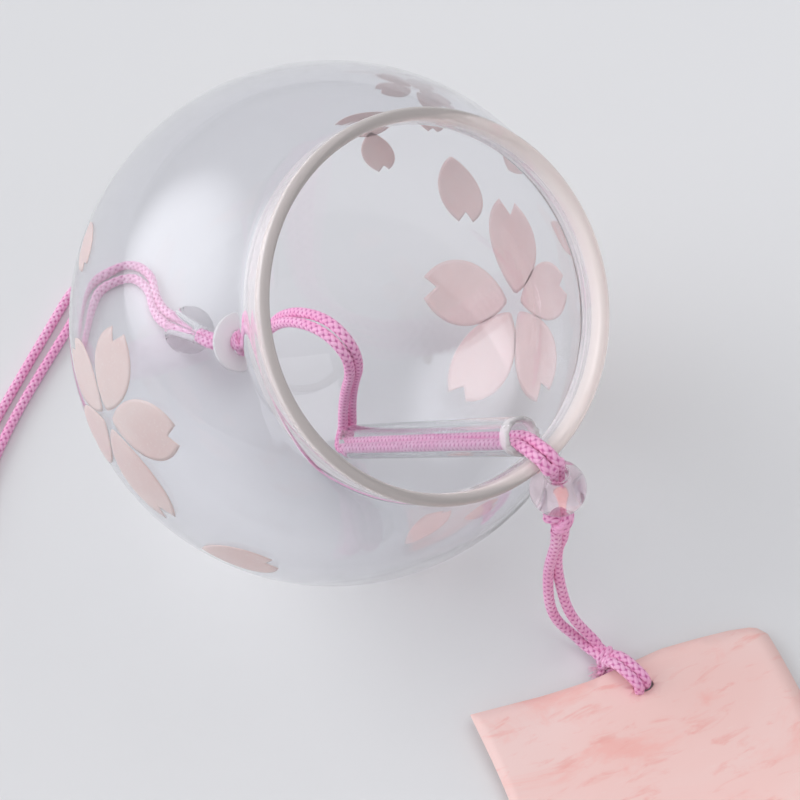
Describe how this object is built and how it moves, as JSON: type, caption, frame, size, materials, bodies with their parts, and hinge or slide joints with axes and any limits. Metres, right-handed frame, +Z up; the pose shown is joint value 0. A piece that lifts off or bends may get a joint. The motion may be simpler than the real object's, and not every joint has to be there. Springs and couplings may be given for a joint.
{
  "type": "wind bell",
  "caption": "Small clear glass wind bell with painted blossoms, on its side, with cord, beads, glass tube clapper and a long paper strip.",
  "frame": {"origin": "the globe's lowest point, where the bell rests on a flat surface", "axes": "+Z up from that surface, +X the way the mouth faces seen from above, +Y to its left"},
  "size_m": [0.233, 0.1057, 0.074],
  "materials": {
    "bell_glass": "clear blown glass",
    "blossom_paint": "opaque pale pink paint",
    "washer_plastic": "white disc",
    "pink_cord": "soft round braid",
    "clear_bead": "clear bead",
    "blush_bead": "faintly pink clear bead",
    "tube_glass": "clear tube, ends melted round",
    "strip_paper": "mottled pink paper"
  },
  "bodies": {
    "bell": {"glass_bell": "bell_glass", "blossom_paint": "blossom_paint", "crown_washer": "washer_plastic", "crown_knot": "pink_cord", "crown_cord": "pink_cord", "inner_cord": "pink_cord", "rim_cord": "pink_cord"},
    "hanger": {"hanging_loop": "pink_cord", "top_bead_core": "pink_cord"},
    "top_bead": {"top_bead": "clear_bead"},
    "clapper": {"tube_cord": "pink_cord"},
    "tube": {"clapper_tube": "tube_glass"},
    "drop": {"lower_bead_core": "pink_cord", "lower_knot": "pink_cord", "strip_cord": "pink_cord"},
    "lower_bead": {"lower_bead": "blush_bead"},
    "strip": {"paper_strip": "strip_paper", "tie_knot": "pink_cord", "tie_loop": "pink_cord", "cord_tails": "pink_cord"}
  },
  "joints": [
    {"name": "hanger_swing", "type": "hinge", "parent": "bell", "child": "hanger", "pos_m": [-0.02226, 0, 0.00799], "axis": [0, 1, 0], "range_deg": [0, 45], "deforming": ["crown_cord"]},
    {"name": "top_bead_spin", "type": "hinge", "parent": "hanger", "child": "top_bead", "pos_m": [-0.03186, -0.0018, 0.0036], "axis": [-0.9121, 0, -0.4099], "continuous": true},
    {"name": "clapper_lift", "type": "hinge", "parent": "bell", "child": "clapper", "pos_m": [0.03706, 0, 0.04333], "axis": [0, 1, 0], "range_deg": [0, 45], "deforming": ["inner_cord", "rim_cord"]},
    {"name": "tube_spin", "type": "hinge", "parent": "clapper", "child": "tube", "pos_m": [0.01701, 0, 0.02467], "axis": [0.6361, 0, 0.7716], "continuous": true},
    {"name": "drop_swing", "type": "hinge", "parent": "bell", "child": "drop", "pos_m": [0.03706, 0, 0.04333], "axis": [0, -1, 0], "range_deg": [0, 60], "deforming": ["rim_cord"]},
    {"name": "lower_bead_spin", "type": "hinge", "parent": "drop", "child": "lower_bead", "pos_m": [0.03959, 0, 0.03907], "axis": [0.1392, 0, -0.9903], "continuous": true},
    {"name": "strip_swing", "type": "hinge", "parent": "drop", "child": "strip", "pos_m": [0.0487, 0.00205, 0.0018], "axis": [-0.4035, -0.915, 0], "range_deg": [0, 80], "deforming": ["strip_cord"]}
  ]
}
